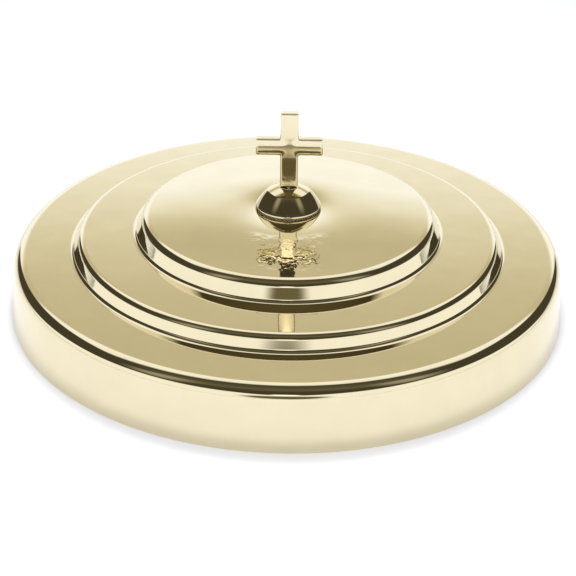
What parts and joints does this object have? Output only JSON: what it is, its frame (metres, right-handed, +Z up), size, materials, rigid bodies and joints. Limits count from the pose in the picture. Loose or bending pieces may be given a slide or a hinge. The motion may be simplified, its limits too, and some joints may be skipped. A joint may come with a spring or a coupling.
{
  "type": "communion tray cover",
  "caption": "Round tiered cover for a communion tray, mirror polished, with a deep skirt, stepped tiers, a gently domed top, a ball knob and a Latin cross.",
  "frame": {"origin": "on the cover's axis, in the plane that the rim stands on", "axes": "+Z up along the cover's axis, the cross lies in the XZ plane and faces -Y"},
  "size_m": [0.3118, 0.3118, 0.1117],
  "materials": {
    "polished_sheet": "mirror polished",
    "polished_knob": "mirror polished",
    "polished_cross": "polished casting",
    "clear_washer": "translucent nylon",
    "plated_steel": "zinc plated",
    "nut_brass": "bright turned"
  },
  "bodies": {
    "root": {"cover_shell": "polished_sheet", "knob": "polished_knob", "cross_finial": "polished_cross", "knob_seat_washer": "clear_washer", "centre_stud": "plated_steel", "backing_washer": "plated_steel", "spring_washer": "plated_steel", "cap_nut": "nut_brass"}
  },
  "joints": []
}
